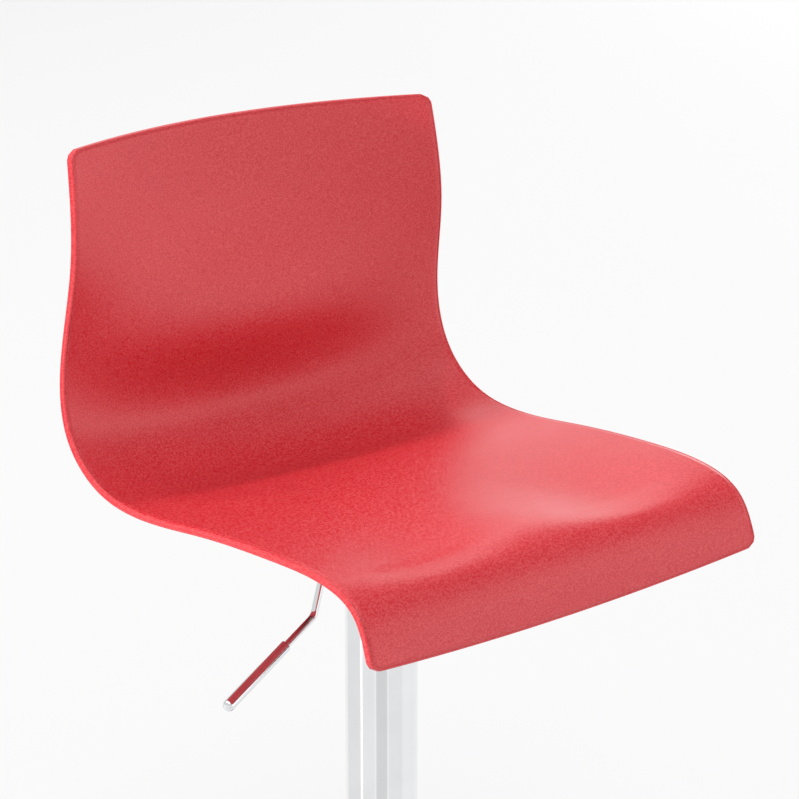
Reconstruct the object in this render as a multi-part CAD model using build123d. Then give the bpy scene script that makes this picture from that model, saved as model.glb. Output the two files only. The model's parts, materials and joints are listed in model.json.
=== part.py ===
from build123d import *
import math
import os

# Swivel stool on a gas lift, in millimetres. Z is up, the sitter faces -Y, the floor is Z = 0,
# and the column stands on the Z axis. The seat is drawn at its lowest setting.

# ---- Driving dimensions ----
SEAT_HEIGHT = 600.0  # rim of the seat pan above the floor, lowest setting
STROKE = 210.0  # travel of the gas spring
BASE_RADIUS = 205.0
TUBE_RADIUS = 25.0  # fixed column tube
TUBE_WALL = 1.5
SLEEVE_RADIUS = 30.0  # bright sleeve that hangs from the seat
SLEEVE_WALL = 1.2
SLEEVE_LENGTH = 285.0
CYLINDER_RADIUS = 14.0
CYLINDER_BORE = 12.0
ROD_RADIUS = 5.0
RUNNING_GAP = 0.05  # radial clearance of a part that slides or turns in another
SEAL_GAP = 0.02

# ---- Heights of the stack, from the floor up ----
RING_TOP = 4.0  # rubber floor ring
BALLAST_TOP = 10.0
FOOT_BOTTOM = 24.0  # plate that closes the column tube
FOOT_TOP = 28.0
BALL_LEVEL = 33.5
RACE_TOP = 39.0
BUFFER_TOP = 51.2
CYLINDER_BOTTOM = 51.5
HUB_TOP = 54.0
COVER_TOP = 72.0
PISTON_BOTTOM = 300.5
TUBE_TOP = 488.0
CONE_BOTTOM = SEAT_HEIGHT - 106.0
TUB_BOTTOM = SEAT_HEIGHT - 68.0
CYLINDER_TOP = SEAT_HEIGHT - 60.0
LEVER_HEIGHT = SEAT_HEIGHT - 51.4
FLANGE_TOP = SEAT_HEIGHT - 40.0

# ---- Seat shell curves, relative to the seat height ----
SHELL_THICKNESS = 6.0
# The rim of one side, from the corner of the back down to the front lip: X, Y, Z.
RIM = [
    (183, 153, 257),
    (189, 144, 166),
    (196, 156, 75),
    (199, 144, 31),
    (200, 109, 2),
    (200, 64, -7),
    (198, -27, 0),
    (197, -119, 6),
    (196, -165, 5),
    (196, -208, -10),
    (197, -228, -50),
]
# The centre line of the sitting surface, from the back's top edge down to the front lip.
SPINE = [
    (0, 187, 258),
    (0, 183, 166),
    (0, 168, 77),
    (0, 177, 45),
    (0, 177, 11),
    (0, 124, -26),
    (0, 66, -19),
    (0, -28, -9),
    (0, -118, -3),
    (0, -163, 0),
    (0, -187, -1),
    (0, -207, -11),
    (0, -222, -60),
]
HOLLOW_DEPTH = 10.0  # the two leg hollows, behind the front roll
HOLLOW_PLACE = 0.860  # share of the way from the back's top to the front lip
HOLLOW_BACK = 0.110  # how gently they begin
HOLLOW_FRONT = 0.040  # how steeply they end
CORNER_ROUND = 9.0
TRIM_LEG = 3 * CORNER_ROUND  # how far a corner's cutter reaches along the edges
TRIM_MARGIN = 3.0  # and how far beyond them
TRIM_HALF_DEPTH = 4 * SHELL_THICKNESS
SHELL_ROWS = 26  # cross-sections that the loft runs through
SHELL_COLUMNS = 14  # spans across each of them

# ---- Screws of the seat, the collar and the hub ----
SCREW_RADIUS = 3.0
SCREW_HOLE_RADIUS = 3.3
SCREW_TIP_GAP = 1.0  # the screws stop this far short of the inserts' tops
SCREW_OFFSET = 58.0  # seat screws stand this far from the axis in X and in Y
SCREW_HEAD_RADIUS = 5.5
SCREW_HEAD_HEIGHT = 4.0
SCREW_HEAD_ROUND = 2.0
SOCKET_HEXAGON = 2.3
SOCKET_DEPTH = 2.5
WASHER_RADIUS = 5.8
WASHER_THICKNESS = 1.5
INSERT_RADIUS = 4.0
INSERT_DEPTH = 9.0
BOSS_FOOT_RADIUS = 10.0
BOSS_TIP_RADIUS = 9.0

# ---- Seat plate and lever works ----
PLATE_SHEET = 2.5
FLANGE_SIDE = 150.0
FLANGE_CORNER = 14.0
TUB_HALF = 42.0
TUB_CORNER = 12.0
SOCKET_RADIUS = 17.0
SOCKET_TOP = TUB_BOTTOM + 6.0
CONE_SLOPE = 0.02  # radius lost per millimetre of height
LEVER_ANGLE = 20.0  # the lever points this far forward of the -X side
LEVER_RADIUS = 3.0
LEVER_BEND = 9.0
LEVER_INNER_END = -3.0  # reaches are measured from the column axis, along the lever
LEVER_FIRST_BEND = 85.5
LEVER_SECOND_BEND = 104.5
LEVER_SECOND_DROP = 41.3
LEVER_OUTER_END = 224.0
LEVER_OUTER_DROP = 70.0
LEVER_SLOT_WIDTH = 9.5
LEVER_SLOT_HEIGHT = 14.0
LEVER_SLOT_RISE = 2.0
GRIP_RADIUS = 4.75
GRIP_LENGTH = 80.0
GRIP_NOSE = 5.0
GRIP_NOSE_ROUND = 4.0
GRIP_EDGE_ROUND = 0.6
PIVOT_REACH = 32.0
PIVOT_PIN_RADIUS = 2.0
PIVOT_HEAD_RADIUS = 3.5
PIVOT_HEAD_HEIGHT = 1.5
PIVOT_PIN_SPARE = 3.0  # how much longer the pin is than the bracket is wide
BARREL_RADIUS = 5.0
BARREL_HALF = 5.0
EAR_GAP = 0.5
EAR_THICKNESS = 2.0
EAR_WIDTH = 11.0
EAR_RISE = 5.0  # ears stand this far above the pivot
CLIP_RADIUS = 3.6
CLIP_THICKNESS = 0.8
CLIP_MOUTH = 2.4
CLIP_MOUTH_DEPTH = 3.0

# ---- Gas spring ----
GLAND_FLOOR = 1.0
GLAND_TOP = PISTON_BOTTOM - STROKE - 0.5
GLAND_SEAL_RADIUS = 7.5
GLAND_SEAL_BOTTOM = GLAND_TOP - 16.0
GLAND_SEAL_TOP = GLAND_TOP - 10.0
VALVE_DEPTH = 34.0
VALVE_SEAL_RADIUS = 4.5
VALVE_SEAL_BOTTOM = CYLINDER_TOP - 15.0
VALVE_SEAL_TOP = CYLINDER_TOP - 11.0
VALVE_PIN_RADIUS = 2.5
VALVE_PIN_BOTTOM = CYLINDER_TOP - 37.0
VALVE_PIN_ROUND = 1.5
VALVE_TIP_GAP = 0.4  # between the pin's tip and the lever above it
VALVE_FOOT_RADIUS = 4.0
VALVE_FOOT_BOTTOM = CYLINDER_TOP - 38.0
VALVE_FOOT_TOP = CYLINDER_TOP - 35.0
ROD_TAIL_RADIUS = 4.0
ROD_TAIL_BOTTOM = 20.0
ROD_TIP_LENGTH = 22.0
ROD_GROOVE_RADIUS = 3.2
ROD_GROOVE_BOTTOM = 21.2
ROD_GROOVE_TOP = 22.2
PISTON_HEIGHT = 17.0
PISTON_GROOVE_RADIUS = 9.5
PISTON_SEAL_BOTTOM = PISTON_BOTTOM + 6.0
PISTON_SEAL_TOP = PISTON_BOTTOM + 10.0
NUT_RADIUS = 7.5
NUT_HEIGHT = 4.0

# ---- Swivel bearing ----
BALL_RADIUS = 2.5
BALL_CIRCLE = 9.5
BALL_COUNT = 8
BALL_GAP = 0.1
RACE_GAP = 1.9  # from the ball level to each race
LOWER_RACE_RADIUS = 13.5
UPPER_RACE_RADIUS = 13.0
CAGE_RADIUS = 12.8
CAGE_BORE = 6.2
CAGE_HALF = 1.2
BUFFER_RADIUS = 13.0
BUFFER_ROUND = 1.0
ROD_WASHER_RADIUS = 9.0
ROD_WASHER_GAP = 0.2
ROD_CLIP_RADIUS = 7.0
ROD_CLIP_MOUTH = 3.5
ROD_CLIP_MOUTH_PLACE = 5.0
ROD_CLIP_MOUTH_DEPTH = 6.0

# ---- Column fittings ----
BUSH_DEPTH = 50.0
BUSH_LIP = 3.0
CAP_DEPTH = 12.0
GUIDE_INSET = 1.0
GUIDE_HEIGHT = 15.0

# ---- Footrest ----
COLLAR_BOTTOM = 202.0
COLLAR_TOP = 232.0
COLLAR_LEVEL = (COLLAR_BOTTOM + COLLAR_TOP) / 2
COLLAR_RADIUS = 31.0
LINER_RADIUS = 26.5
COLLAR_SCREW_ANGLES = (60, 120)
COLLAR_SCREW_GAP = 0.6
COLLAR_HEAD_RADIUS = 5.0
COLLAR_HEAD_HEIGHT = 6.0
COLLAR_HEXAGON = 2.9
COLLAR_HEXAGON_DEPTH = 3.0
FOOTREST_RADIUS = 11.0
FOOTREST_WALL = 1.5
FOOTREST_REACH = 175.0
FOOTREST_SPREAD = 52.0  # each arm leaves the collar this many degrees off straight ahead
FOOTREST_CORNER = 38.0

# ---- Base ----
COVER_SHEET = 1.8
COVER_EDGE_HEIGHT = 4.0
COVER_NECK_LEAN = -0.25  # slope of the cover where it meets the neck ring
# The cover's outer line above its edge: radius, height.
COVER_FLARE = [
    (BASE_RADIUS - 4, RING_TOP + 8.5),
    (150, 20.5),
    (90, 31),
    (48, 49),
    (31.5, COVER_TOP),
]
COVER_SAMPLES = 12  # spans that follow the cover's flare at one sheet thickness
HUB_RADIUS = 30.0
HUB_FLANGE_RADIUS = 50.0
HUB_FLANGE_HEIGHT = 5.0
HUB_BOLT_CIRCLE = 40.0
HUB_BOLT_COUNT = 4
HUB_BOLT_HEXAGON = 5.8
HUB_BOLT_HEAD = 4.0
BALLAST_RADIUS = 178.0
BALLAST_BORE = 20.0
FLOOR_RING_BORE = 168.0
FLOOR_RING_ROUND = 1.0
NECK_RADIUS = 34.0
NECK_HEIGHT = 5.0
NECK_ROUND = 1.5
NECK_SPIGOT_RADIUS = 29.2
NECK_SPIGOT_DEPTH = 8.0

os.makedirs("parts", exist_ok=True)


def save(shape, node):
    export_step(shape, f"parts/{node}.step")


def tube(outer, inner, bottom, top):
    """A round tube or ring on the Z axis."""
    height = top - bottom
    body = Cylinder(outer, height, align=(Align.CENTER, Align.CENTER, Align.MIN))
    if inner > 0:
        body -= Cylinder(inner, height, align=(Align.CENTER, Align.CENTER, Align.MIN))
    return Pos(0, 0, bottom) * body


def rod(radius, bottom, top):
    """A plain round bar on the Z axis."""
    return tube(radius, 0, bottom, top)


def lathe(outline):
    """A solid turned about the Z axis from (radius, height) points."""
    face = make_face(Polyline(*[(r, 0, z) for r, z in outline], close=True))
    return revolve(face, Axis.Z)


def group(solids):
    """Separate equal solids that share one node."""
    return Compound(children=list(solids))


def lever_frame(reach, height):
    """A plane on the lever's line: X runs out along the lever, Z stays up."""
    turn = math.radians(LEVER_ANGLE)
    along = Vector(-math.cos(turn), -math.sin(turn), 0)
    place = along * reach + Vector(0, 0, height)
    return Plane(origin=place, x_dir=along, z_dir=(0, 0, 1))


# ---- Seat ----


def seat_screw_places():
    return [(x, y) for x in (-SCREW_OFFSET, SCREW_OFFSET) for y in (-SCREW_OFFSET, SCREW_OFFSET)]


def hollow_depth(along, across):
    """How far the two leg hollows sink, deepest halfway out and steeper towards the front roll."""
    span = HOLLOW_FRONT if along > HOLLOW_PLACE else HOLLOW_BACK
    shape = math.exp(-(((along - HOLLOW_PLACE) / span) ** 2))
    return HOLLOW_DEPTH * shape * math.sin(math.pi * abs(across)) ** 2


def shell_section(rim, spine, along):
    """The shell's closed cross-section, a share of the way down it, in a plane of its own."""
    edge = rim.position_at(along * rim.length, PositionMode.LENGTH)
    middle = spine.position_at(along * spine.length, PositionMode.LENGTH)
    depth = Vector(0, middle.Y - edge.Y, middle.Z - edge.Z)
    down = depth.normalized()
    upper = []
    for step in range(SHELL_COLUMNS + 1):
        across = 2 * step / SHELL_COLUMNS - 1
        sink = depth.length * (1 - across * across) + hollow_depth(along, across)
        rise = Vector(across * edge.X, edge.Y, SEAT_HEIGHT + edge.Z)
        upper.append(rise + down * sink)
    lower = [point + down * SHELL_THICKNESS for point in reversed(upper)]
    sides = [Line(upper[-1], lower[0]), Line(lower[-1], upper[0])]
    return Wire([Spline(*upper), sides[0], Spline(*lower), sides[1]])


def corner_trim(corner, along_end, down_side):
    """What a rounded corner loses. The two directions run from the corner along its edges."""
    end_leg = corner + along_end * TRIM_LEG
    side_leg = corner + down_side * TRIM_LEG
    legs = FilletPolyline(end_leg, corner, side_leg, radius=CORNER_ROUND)
    arc = legs.edges().filter_by(GeomType.CIRCLE)[0]
    near_end, near_side = arc @ 0, arc @ 1
    outside = [
        near_side,
        near_side - along_end * TRIM_MARGIN,
        corner - (along_end + down_side) * TRIM_MARGIN,
        near_end - down_side * TRIM_MARGIN,
        near_end,
    ]
    face = make_face([arc, *Polyline(*outside).edges()])
    return extrude(face, TRIM_HALF_DEPTH, dir=along_end.cross(down_side), both=True)


def trim_corners(shell, rim, spine):
    """Rounds the two corners of the back and the two of the front lip."""
    for end in (0, 1):
        corner = rim @ end
        middle = spine @ end
        down_side = (rim % end) * (1 - 2 * end)
        rise = (corner - Vector(0, middle.Y, middle.Z)) * 2
        for side in (-1, 1):
            place = Vector(side * corner.X, corner.Y, corner.Z + SEAT_HEIGHT)
            along_end = Vector(-side * corner.X, -rise.Y, -rise.Z).normalized()
            down = Vector(side * down_side.X, down_side.Y, down_side.Z)
            shell -= corner_trim(place, along_end, down)
    return shell


def seat_boss(shell, x, y):
    """A tapered boss from the seat plate up into the shell's underside."""
    line = Axis((x, y, 0), (0, 0, 1))
    underside = min(point.Z for point, _ in shell.find_intersection_points(line))
    height = underside + SHELL_THICKNESS / 2 - FLANGE_TOP
    boss = Cone(BOSS_FOOT_RADIUS, BOSS_TIP_RADIUS, height, align=(Align.CENTER, Align.CENTER, Align.MIN))
    return Pos(x, y, FLANGE_TOP) * boss


def seat_shell():
    """One moulding: the dished shell and the four bosses that take the inserts."""
    rim = Spline(*RIM)
    spine = Spline(*SPINE)
    sections = [shell_section(rim, spine, row / SHELL_ROWS) for row in range(SHELL_ROWS + 1)]
    shell = trim_corners(Solid.make_loft(sections), rim, spine)
    bosses = [seat_boss(shell, x, y) for x, y in seat_screw_places()]
    for boss in bosses:
        shell += boss
    for x, y in seat_screw_places():
        shell -= Pos(x, y, 0) * rod(INSERT_RADIUS, FLANGE_TOP, FLANGE_TOP + INSERT_DEPTH)
    return shell


def seat_inserts():
    insert = tube(INSERT_RADIUS, SCREW_RADIUS, FLANGE_TOP, FLANGE_TOP + INSERT_DEPTH)
    return group(Pos(x, y, 0) * insert for x, y in seat_screw_places())


def seat_washers():
    top = FLANGE_TOP - PLATE_SHEET
    washer = tube(WASHER_RADIUS, SCREW_HOLE_RADIUS, top - WASHER_THICKNESS, top)
    return group(Pos(x, y, 0) * washer for x, y in seat_screw_places())


def seat_screws():
    """Button-head screws with a hexagon socket, from below into the inserts."""
    head_top = FLANGE_TOP - PLATE_SHEET - WASHER_THICKNESS
    head_bottom = head_top - SCREW_HEAD_HEIGHT
    head = rod(SCREW_HEAD_RADIUS, head_bottom, head_top)
    head = fillet(head.edges().sort_by(Axis.Z)[0], SCREW_HEAD_ROUND)
    shank = rod(SCREW_RADIUS, head_top, FLANGE_TOP + INSERT_DEPTH - SCREW_TIP_GAP)
    socket = extrude(RegularPolygon(SOCKET_HEXAGON, 6), SOCKET_DEPTH)
    screw = head + shank - Pos(0, 0, head_bottom) * socket
    return group(Pos(x, y, 0) * screw for x, y in seat_screw_places())


def seat_plate():
    """Pressed steel plate: a square flange round a tub that holds the lever works."""
    depth = FLANGE_TOP - TUB_BOTTOM
    flange_bottom = FLANGE_TOP - PLATE_SHEET
    inner_half = TUB_HALF - PLATE_SHEET
    flange = extrude(RectangleRounded(FLANGE_SIDE, FLANGE_SIDE, FLANGE_CORNER), PLATE_SHEET)
    outer = extrude(RectangleRounded(2 * TUB_HALF, 2 * TUB_HALF, TUB_CORNER), depth)
    inner = extrude(RectangleRounded(2 * inner_half, 2 * inner_half, TUB_CORNER - PLATE_SHEET), depth)
    plate = Pos(0, 0, flange_bottom) * flange + Pos(0, 0, TUB_BOTTOM) * outer
    plate -= Pos(0, 0, TUB_BOTTOM + PLATE_SHEET) * inner
    plate -= rod(SOCKET_RADIUS, TUB_BOTTOM, TUB_BOTTOM + PLATE_SHEET)
    for x, y in seat_screw_places():
        plate -= Pos(x, y, 0) * rod(SCREW_HOLE_RADIUS, flange_bottom, FLANGE_TOP)
    slot = Pos(0, 0, LEVER_SLOT_RISE) * Box(4 * PLATE_SHEET, LEVER_SLOT_WIDTH, LEVER_SLOT_HEIGHT)
    return plate - lever_frame(TUB_HALF + PLATE_SHEET / 2, LEVER_HEIGHT).location * slot


def cone_socket():
    """Steel socket welded into the tub. The gas spring's tapered end wedges into it."""
    narrow = CYLINDER_RADIUS - (SOCKET_TOP - CONE_BOTTOM) * CONE_SLOPE
    return lathe(
        [
            (CYLINDER_RADIUS, CONE_BOTTOM),
            (SOCKET_RADIUS, CONE_BOTTOM),
            (SOCKET_RADIUS, SOCKET_TOP),
            (narrow, SOCKET_TOP),
        ]
    )


def lever_bracket():
    """U-shaped bracket on the tub's floor: two ears hold the lever's pivot pin."""
    floor = TUB_BOTTOM + PLATE_SHEET
    half = BARREL_HALF + EAR_GAP
    foot = Box(EAR_WIDTH, 2 * (half + EAR_THICKNESS), EAR_THICKNESS)
    ear_height = LEVER_HEIGHT + EAR_RISE - floor
    ear = Box(EAR_WIDTH, EAR_THICKNESS, ear_height, align=(Align.CENTER, Align.CENTER, Align.MIN))
    side = half + EAR_THICKNESS / 2
    bracket = Pos(0, 0, EAR_THICKNESS / 2) * foot + Pos(0, side, 0) * ear + Pos(0, -side, 0) * ear
    hole = Rot(90, 0, 0) * Cylinder(PIVOT_PIN_RADIUS, 4 * side)
    bracket -= Pos(0, 0, LEVER_HEIGHT - floor) * hole
    return lever_frame(PIVOT_REACH, floor).location * bracket


def lever_pivot_pin():
    grip = BARREL_HALF + EAR_GAP + EAR_THICKNESS
    pin = Rot(90, 0, 0) * Cylinder(PIVOT_PIN_RADIUS, 2 * grip + PIVOT_PIN_SPARE)
    head = Rot(90, 0, 0) * Cylinder(PIVOT_HEAD_RADIUS, PIVOT_HEAD_HEIGHT)
    place = lever_frame(PIVOT_REACH, LEVER_HEIGHT).location
    return place * (pin + Pos(0, grip + PIVOT_HEAD_HEIGHT / 2, 0) * head)


def pivot_clip():
    """Open spring clip on the pin's far end."""
    grip = BARREL_HALF + EAR_GAP + EAR_THICKNESS
    mouth = Pos(CLIP_MOUTH_DEPTH, 0, 0) * Box(CLIP_MOUTH_DEPTH, CLIP_MOUTH, CLIP_THICKNESS)
    ring = Cylinder(CLIP_RADIUS, CLIP_THICKNESS) - Cylinder(PIVOT_PIN_RADIUS, CLIP_THICKNESS) - mouth
    place = lever_frame(PIVOT_REACH, LEVER_HEIGHT).location
    return place * Pos(0, -grip - CLIP_THICKNESS / 2, 0) * Rot(90, 0, 0) * ring


# ---- Release lever ----


def lever_rod():
    """Bent round rod with a welded pivot barrel."""
    corners = [
        lever_frame(LEVER_INNER_END, LEVER_HEIGHT).origin,
        lever_frame(LEVER_FIRST_BEND, LEVER_HEIGHT).origin,
        lever_frame(LEVER_SECOND_BEND, LEVER_HEIGHT - LEVER_SECOND_DROP).origin,
        lever_frame(LEVER_OUTER_END, LEVER_HEIGHT - LEVER_OUTER_DROP).origin,
    ]
    path = FilletPolyline(*corners, radius=LEVER_BEND)
    start = Plane(origin=corners[0], z_dir=path % 0)
    bar = sweep(start * Circle(LEVER_RADIUS), path=path)
    barrel = lever_frame(PIVOT_REACH, LEVER_HEIGHT).location * Rot(90, 0, 0)
    bar += barrel * Cylinder(BARREL_RADIUS, 2 * BARREL_HALF)
    return bar - barrel * Cylinder(PIVOT_PIN_RADIUS + RUNNING_GAP, 2 * BARREL_HALF)


def lever_grip():
    """Slim sleeve with a rounded end, pressed onto the end of the rod."""
    drop = LEVER_OUTER_DROP - LEVER_SECOND_DROP
    slope = math.degrees(math.atan2(drop, LEVER_OUTER_END - LEVER_SECOND_BEND))
    grip = rod(GRIP_RADIUS, -GRIP_LENGTH, GRIP_NOSE)
    grip = fillet(grip.edges().sort_by(Axis.Z)[-1], GRIP_NOSE_ROUND)
    grip = fillet(grip.edges().sort_by(Axis.Z)[0], GRIP_EDGE_ROUND)
    grip -= rod(LEVER_RADIUS, -GRIP_LENGTH, 0)
    place = lever_frame(LEVER_OUTER_END, LEVER_HEIGHT - LEVER_OUTER_DROP)
    return place.location * Rot(0, 90 + slope, 0) * grip


# ---- Gas spring ----


def lift_cylinder():
    """Pressure tube whose upper end tapers to fit the socket."""
    tip = CYLINDER_RADIUS - (CYLINDER_TOP - CONE_BOTTOM) * CONE_SLOPE
    return lathe(
        [
            (CYLINDER_BORE, CYLINDER_BOTTOM),
            (CYLINDER_RADIUS, CYLINDER_BOTTOM),
            (CYLINDER_RADIUS, CONE_BOTTOM),
            (tip, CYLINDER_TOP),
            (CYLINDER_BORE, CYLINDER_TOP),
        ]
    )


def cylinder_gland():
    """End plug that guides the rod, with a groove for its seal."""
    inner = ROD_RADIUS + RUNNING_GAP
    plug = tube(CYLINDER_BORE, inner, CYLINDER_BOTTOM + GLAND_FLOOR, GLAND_TOP)
    return plug - tube(GLAND_SEAL_RADIUS, inner, GLAND_SEAL_BOTTOM, GLAND_SEAL_TOP)


def gland_seal():
    return tube(GLAND_SEAL_RADIUS, ROD_RADIUS + SEAL_GAP, GLAND_SEAL_BOTTOM, GLAND_SEAL_TOP)


def valve_body():
    """Plug in the tapered end. The valve pin slides in its bore."""
    bore = VALVE_PIN_RADIUS + RUNNING_GAP
    body = tube(CYLINDER_BORE, bore, CYLINDER_TOP - VALVE_DEPTH, CYLINDER_TOP)
    return body - tube(VALVE_SEAL_RADIUS, bore, VALVE_SEAL_BOTTOM, VALVE_SEAL_TOP)


def valve_seal():
    return tube(VALVE_SEAL_RADIUS, VALVE_PIN_RADIUS + SEAL_GAP, VALVE_SEAL_BOTTOM, VALVE_SEAL_TOP)


def valve_pin():
    """Button that opens the valve. Its domed tip stands under the lever's inner end."""
    shaft = rod(VALVE_PIN_RADIUS, VALVE_PIN_BOTTOM, LEVER_HEIGHT - LEVER_RADIUS - VALVE_TIP_GAP)
    shaft = fillet(shaft.edges().sort_by(Axis.Z)[-1], VALVE_PIN_ROUND)
    return shaft + rod(VALVE_FOOT_RADIUS, VALVE_FOOT_BOTTOM, VALVE_FOOT_TOP)


def piston_rod():
    """Rod that stands on the swivel bearing, stepped at both ends."""
    shape = rod(ROD_RADIUS, RACE_TOP, PISTON_BOTTOM)
    shape += rod(ROD_TAIL_RADIUS, ROD_TAIL_BOTTOM, RACE_TOP)
    shape += rod(ROD_TAIL_RADIUS, PISTON_BOTTOM, PISTON_BOTTOM + ROD_TIP_LENGTH)
    return shape - tube(ROD_TAIL_RADIUS, ROD_GROOVE_RADIUS, ROD_GROOVE_BOTTOM, ROD_GROOVE_TOP)


def piston():
    top = PISTON_BOTTOM + PISTON_HEIGHT
    body = tube(CYLINDER_BORE - RUNNING_GAP, ROD_TAIL_RADIUS, PISTON_BOTTOM, top)
    return body - tube(CYLINDER_BORE, PISTON_GROOVE_RADIUS, PISTON_SEAL_BOTTOM, PISTON_SEAL_TOP)


def piston_seal():
    return tube(CYLINDER_BORE - SEAL_GAP, PISTON_GROOVE_RADIUS, PISTON_SEAL_BOTTOM, PISTON_SEAL_TOP)


def piston_nut():
    bottom = PISTON_BOTTOM + PISTON_HEIGHT
    nut = Pos(0, 0, bottom) * extrude(RegularPolygon(NUT_RADIUS, 6), NUT_HEIGHT)
    return nut - rod(ROD_TAIL_RADIUS, bottom, bottom + NUT_HEIGHT)


# ---- Swivel bearing ----


def ball_groove():
    return Pos(0, 0, BALL_LEVEL) * Torus(BALL_CIRCLE, BALL_RADIUS + BALL_GAP)


def lower_race():
    ring = tube(LOWER_RACE_RADIUS, ROD_TAIL_RADIUS + ROD_WASHER_GAP, FOOT_TOP, BALL_LEVEL - RACE_GAP)
    return ring - ball_groove()


def upper_race():
    return tube(UPPER_RACE_RADIUS, ROD_TAIL_RADIUS, BALL_LEVEL + RACE_GAP, RACE_TOP) - ball_groove()


def ball_places():
    steps = [math.tau * step / BALL_COUNT for step in range(BALL_COUNT)]
    return [(BALL_CIRCLE * math.cos(a), BALL_CIRCLE * math.sin(a)) for a in steps]


def bearing_balls():
    return group(Pos(x, y, BALL_LEVEL) * Sphere(BALL_RADIUS) for x, y in ball_places())


def bearing_cage():
    cage = tube(CAGE_RADIUS, CAGE_BORE, BALL_LEVEL - CAGE_HALF, BALL_LEVEL + CAGE_HALF)
    for x, y in ball_places():
        cage -= Pos(x, y, BALL_LEVEL) * Cylinder(BALL_RADIUS, 3 * CAGE_HALF)
    return cage


def rod_buffer():
    """Rubber ring that the cylinder comes down on."""
    shape = tube(BUFFER_RADIUS, ROD_RADIUS, RACE_TOP, BUFFER_TOP)
    return fillet(shape.edges().filter_by(GeomType.CIRCLE).sort_by(Axis.Z)[-2:], BUFFER_ROUND)


def rod_washer():
    return tube(ROD_WASHER_RADIUS, ROD_TAIL_RADIUS, ROD_GROOVE_TOP, FOOT_BOTTOM - ROD_WASHER_GAP)


def rod_clip():
    """Open spring clip in the rod's groove, under the washer."""
    ring = tube(ROD_CLIP_RADIUS, ROD_GROOVE_RADIUS, ROD_GROOVE_BOTTOM, ROD_GROOVE_TOP)
    level = (ROD_GROOVE_BOTTOM + ROD_GROOVE_TOP) / 2
    mouth = Box(ROD_CLIP_MOUTH_DEPTH, ROD_CLIP_MOUTH, ROD_GROOVE_TOP - ROD_GROOVE_BOTTOM)
    return ring - Pos(ROD_CLIP_MOUTH_PLACE, 0, level) * mouth


# ---- Column ----


def outer_tube():
    return tube(TUBE_RADIUS, TUBE_RADIUS - TUBE_WALL, BALLAST_TOP, TUBE_TOP)


def tube_foot():
    """Plate welded inside the tube, which carries the bearing and guides the rod's tail."""
    return tube(TUBE_RADIUS - TUBE_WALL, ROD_TAIL_RADIUS + RUNNING_GAP, FOOT_BOTTOM, FOOT_TOP)


def guide_bush():
    """Plastic bush in the tube's mouth, in which the cylinder slides and turns."""
    inner = CYLINDER_RADIUS + RUNNING_GAP
    bush = tube(TUBE_RADIUS - TUBE_WALL, inner, TUBE_TOP - BUSH_DEPTH, TUBE_TOP)
    return bush + tube(TUBE_RADIUS, inner, TUBE_TOP, TUBE_TOP + BUSH_LIP)


def column_sleeve():
    return tube(SLEEVE_RADIUS, SLEEVE_RADIUS - SLEEVE_WALL, TUB_BOTTOM - SLEEVE_LENGTH, TUB_BOTTOM)


def sleeve_top_cap():
    """Plastic ring that centres the sleeve on the socket."""
    return tube(SLEEVE_RADIUS - SLEEVE_WALL, SOCKET_RADIUS, TUB_BOTTOM - CAP_DEPTH, TUB_BOTTOM)


def sleeve_guide_ring():
    """Plastic ring in the sleeve's mouth, which runs on the column tube."""
    bottom = TUB_BOTTOM - SLEEVE_LENGTH + GUIDE_INSET
    return tube(SLEEVE_RADIUS - SLEEVE_WALL, TUBE_RADIUS + RUNNING_GAP, bottom, bottom + GUIDE_HEIGHT)


# ---- Footrest ----


def footrest_path():
    """Two spreading arms, two corners and a front curve about the column."""
    inset = FOOTREST_REACH - FOOTREST_CORNER
    turn = math.degrees(math.asin(FOOTREST_CORNER / inset))
    straight = inset * math.cos(math.radians(turn))

    def spot(radius, degrees):
        angle = math.radians(-90 + degrees)
        return Vector(radius * math.cos(angle), radius * math.sin(angle), COLLAR_LEVEL)

    def corner_middle(side):
        centre = spot(inset, side * (FOOTREST_SPREAD - turn))
        outward = (centre - Vector(0, 0, COLLAR_LEVEL)).normalized()
        square = outward.rotate(Axis.Z, side * (90 - turn) / 2)
        return centre + square * FOOTREST_CORNER

    left_arm = Line(spot(TUBE_RADIUS, -FOOTREST_SPREAD), spot(straight, -FOOTREST_SPREAD))
    left_end = spot(FOOTREST_REACH, turn - FOOTREST_SPREAD)
    left_corner = ThreePointArc(left_arm @ 1, corner_middle(-1), left_end)
    right_end = spot(FOOTREST_REACH, FOOTREST_SPREAD - turn)
    front = ThreePointArc(left_end, spot(FOOTREST_REACH, 0), right_end)
    right_corner = ThreePointArc(right_end, corner_middle(1), spot(straight, FOOTREST_SPREAD))
    right_arm = Line(right_corner @ 1, spot(TUBE_RADIUS, FOOTREST_SPREAD))
    return Wire([left_arm, left_corner, front, right_corner, right_arm])


def footrest_loop():
    path = footrest_path()
    start = Plane(origin=path @ 0, z_dir=path % 0)
    loop = sweep(start * Circle(FOOTREST_RADIUS), path=path)
    loop -= sweep(start * Circle(FOOTREST_RADIUS - FOOTREST_WALL), path=path)
    return loop - rod(COLLAR_RADIUS, COLLAR_BOTTOM, COLLAR_TOP)


def footrest_collar():
    collar = tube(COLLAR_RADIUS, LINER_RADIUS, COLLAR_BOTTOM, COLLAR_TOP)
    hole = Rot(0, 90, 0) * Cylinder(SCREW_RADIUS, 3 * (COLLAR_RADIUS - LINER_RADIUS))
    for angle in COLLAR_SCREW_ANGLES:
        collar -= Rot(0, 0, angle) * Pos(COLLAR_RADIUS, 0, COLLAR_LEVEL) * hole
    return collar


def collar_liner():
    return tube(LINER_RADIUS, TUBE_RADIUS, COLLAR_BOTTOM, COLLAR_TOP)


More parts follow.
